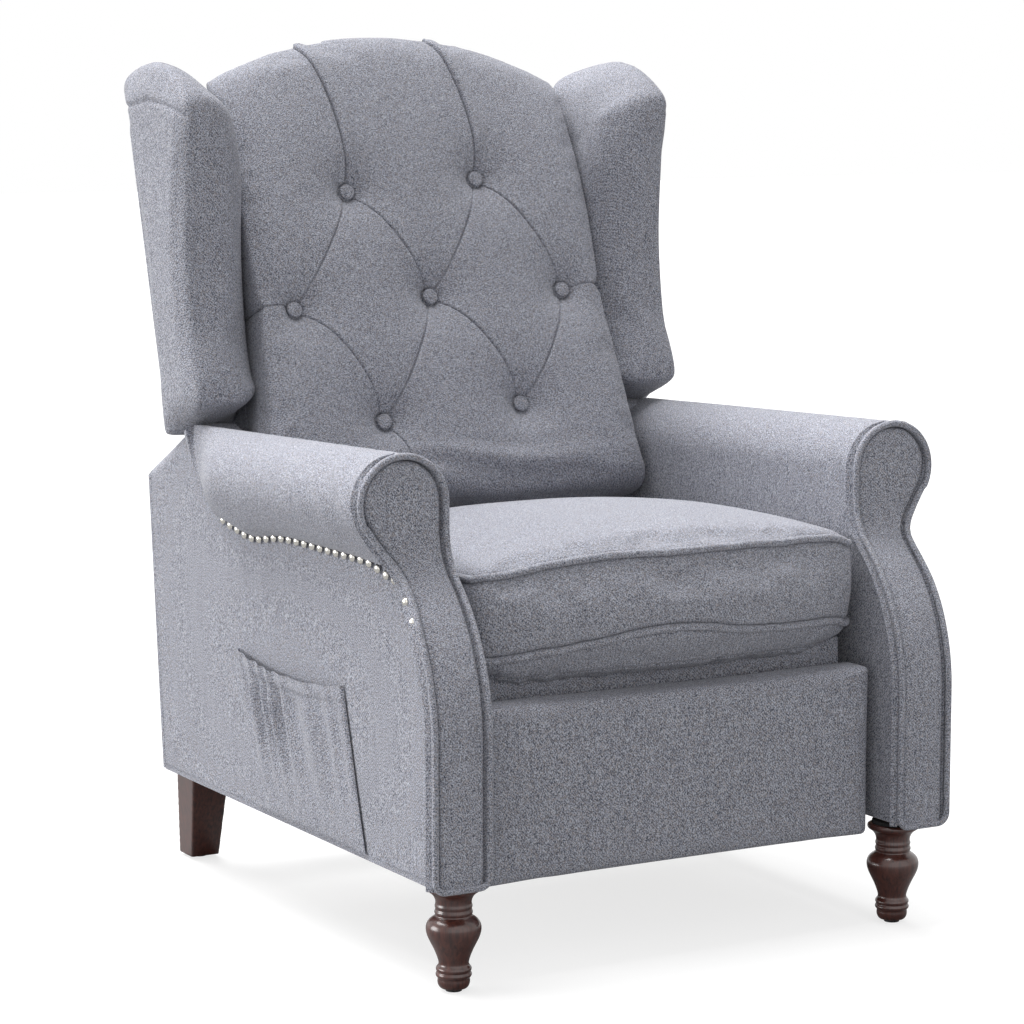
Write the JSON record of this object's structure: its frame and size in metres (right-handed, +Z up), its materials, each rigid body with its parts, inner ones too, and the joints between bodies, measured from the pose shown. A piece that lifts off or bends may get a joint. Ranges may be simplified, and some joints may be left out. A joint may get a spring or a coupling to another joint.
{
  "type": "pushback club recliner",
  "caption": "Upholstered wing-back armchair that reclines when its back is pushed: the seat glides forward and a front panel swings up as a footrest. Rolled arms, tufted back, turned legs.",
  "frame": {"origin": "on the floor under the middle of the chair's box", "axes": "+Z up, -Y the way the sitter faces, +X to the right of someone facing the chair"},
  "size_m": [0.764, 0.8313, 1.0359],
  "materials": {
    "upholstery": "heathered grey twill",
    "leg_wood": "dark mahogany stain, semi-gloss lacquer",
    "frame_wood": "sawn plywood and pine",
    "nail_nickel": "pale satin nickel",
    "felt": "black felt",
    "glide_plastic": "black nylon",
    "webbing": "woven elastic",
    "spring_steel": "oil tempered",
    "zinc_steel": "zinc plated",
    "link_steel": "black painted"
  },
  "bodies": {
    "arm_base": {"right_arm_roll": "upholstery", "left_arm_roll": "upholstery", "right_arm_front": "upholstery", "left_arm_front": "upholstery", "right_arm_outer_panel": "upholstery", "left_arm_outer_panel": "upholstery", "right_arm_inner_panel": "upholstery", "left_arm_inner_panel": "upholstery", "arm_posts": "frame_wood", "arm_rails": "frame_wood", "arm_welts": "upholstery", "arm_nailheads": "nail_nickel", "side_pocket": "upholstery", "mid_stretcher": "frame_wood", "rear_stretcher": "upholstery", "right_front_leg": "leg_wood", "left_front_leg": "leg_wood", "right_rear_leg": "leg_wood", "left_rear_leg": "leg_wood", "front_leg_discs": "felt", "leg_glides": "glide_plastic", "base_plates": "link_steel", "base_pivot_pins": "zinc_steel"},
    "back_unit": {"back_stiles": "frame_wood", "back_bottom_rail": "frame_wood", "back_top_rail": "frame_wood", "back_webbing": "webbing", "outside_back": "upholstery", "back_cushion": "upholstery", "back_buttons": "upholstery", "right_wing": "upholstery", "left_wing": "upholstery", "wing_boards": "frame_wood", "back_brackets": "link_steel"},
    "seat_unit": {"seat_cushion": "upholstery", "seat_welts": "upholstery", "seat_side_rails": "frame_wood", "seat_front_rail": "frame_wood", "seat_rear_rail": "frame_wood", "seat_front_cover": "upholstery", "seat_springs": "spring_steel", "seat_spring_clips": "zinc_steel", "seat_plates": "link_steel", "seat_pivot_pins": "zinc_steel"},
    "swing_link_pair": {"swing_links": "link_steel", "swing_link_rivets": "zinc_steel"},
    "drive_link_pair": {"drive_links": "link_steel"},
    "short_link_pair": {"short_links": "link_steel"},
    "long_link_pair": {"long_links": "link_steel", "long_link_rivets": "zinc_steel", "cross_tube": "link_steel"},
    "cross_link_pair": {"cross_links": "link_steel", "cross_link_rivets": "zinc_steel"},
    "tail_link_pair": {"tail_links": "link_steel"},
    "footrest_unit": {"footrest_pad": "upholstery", "footrest_board": "frame_wood", "footrest_brackets": "link_steel", "footrest_rivets": "zinc_steel"}
  },
  "joints": [
    {"name": "back_recline", "type": "hinge", "parent": "arm_base", "child": "back_unit", "pos_m": [0, 0.244, 0.4], "axis": [-1, 0, 0], "range_deg": [0, 35], "stiffness_Nm_per_rad": 40, "springref_deg": -34.38},
    {"name": "seat_glide", "type": "hinge", "parent": "back_unit", "child": "seat_unit", "pos_m": [0, 0.2673, 0.3131], "axis": [-1, 0, 0], "range_deg": [-35, 0]},
    {"name": "swing_link_turn", "type": "hinge", "parent": "arm_base", "child": "swing_link_pair", "pos_m": [0, 0.02, 0.4], "axis": [-1, 0, 0], "range_deg": [0, 35]},
    {"name": "drive_link_turn", "type": "hinge", "parent": "swing_link_pair", "child": "drive_link_pair", "pos_m": [0, -0.0816, 0.2731], "axis": [-1, 0, 0], "range_deg": [-47.5, 0]},
    {"name": "long_link_turn", "type": "hinge", "parent": "seat_unit", "child": "long_link_pair", "pos_m": [0, -0.245, 0.305], "axis": [-1, 0, 0], "range_deg": [0, 82.1]},
    {"name": "short_link_turn", "type": "hinge", "parent": "seat_unit", "child": "short_link_pair", "pos_m": [0, -0.19, 0.267], "axis": [-1, 0, 0], "range_deg": [0, 82.1]},
    {"name": "cross_link_turn", "type": "hinge", "parent": "long_link_pair", "child": "cross_link_pair", "pos_m": [0, -0.19, 0.177], "axis": [-1, 0, 0], "range_deg": [-82.1, 0]},
    {"name": "tail_link_turn", "type": "hinge", "parent": "long_link_pair", "child": "tail_link_pair", "pos_m": [0, -0.172, 0.131], "axis": [-1, 0, 0], "range_deg": [-82.1, 0]},
    {"name": "footrest_turn", "type": "hinge", "parent": "cross_link_pair", "child": "footrest_unit", "pos_m": [0, -0.305, 0.28], "axis": [-1, 0, 0], "range_deg": [0, 82.1]}
  ],
  "couplings": [
    {"joint": "seat_glide", "follows": "back_recline", "ratio": -1},
    {"joint": "swing_link_turn", "follows": "back_recline", "ratio": 1},
    {"joint": "drive_link_turn", "follows": "back_recline", "ratio": -1.3543},
    {"joint": "long_link_turn", "follows": "back_recline", "ratio": 2.3429},
    {"joint": "short_link_turn", "follows": "back_recline", "ratio": 2.3429},
    {"joint": "cross_link_turn", "follows": "back_recline", "ratio": -2.3429},
    {"joint": "tail_link_turn", "follows": "back_recline", "ratio": -2.3429},
    {"joint": "footrest_turn", "follows": "back_recline", "ratio": 2.3429}
  ]
}
